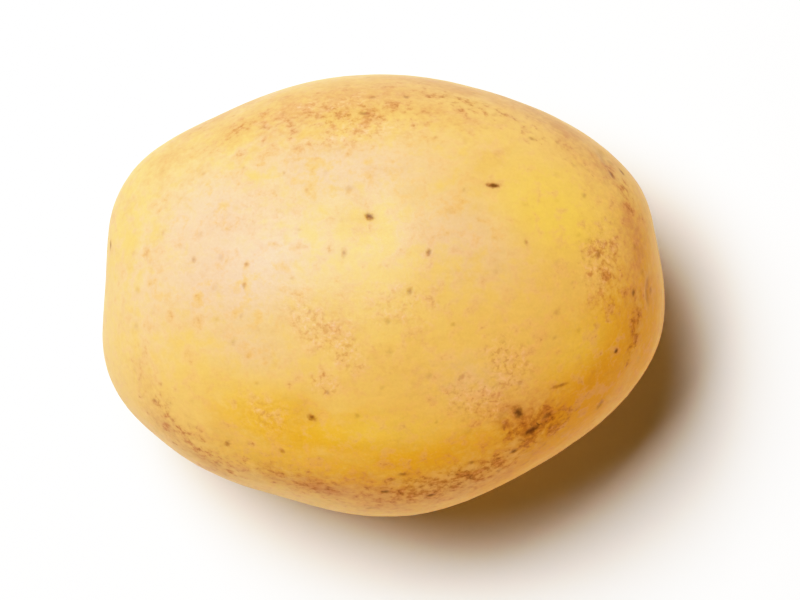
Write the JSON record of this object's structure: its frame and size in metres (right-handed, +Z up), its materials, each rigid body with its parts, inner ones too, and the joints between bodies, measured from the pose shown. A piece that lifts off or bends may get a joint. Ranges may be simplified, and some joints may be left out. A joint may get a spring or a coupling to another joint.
{
  "type": "potato",
  "caption": "Whole oval potato with smooth yellow skin, shallow eyes and a stem scar, lying on a small flat spot.",
  "frame": {"origin": "on the resting surface, under the middle of the potato's box", "axes": "+X along the long axis towards the bud end, +Y across the width, +Z up out of the resting surface, along the height"},
  "size_m": [0.08, 0.0624, 0.054],
  "materials": {
    "potato_skin": "smooth yellow skin with a satin sheen, pale brown russet patches and small dark pores"
  },
  "bodies": {
    "root": {"potato": "potato_skin"}
  },
  "joints": []
}
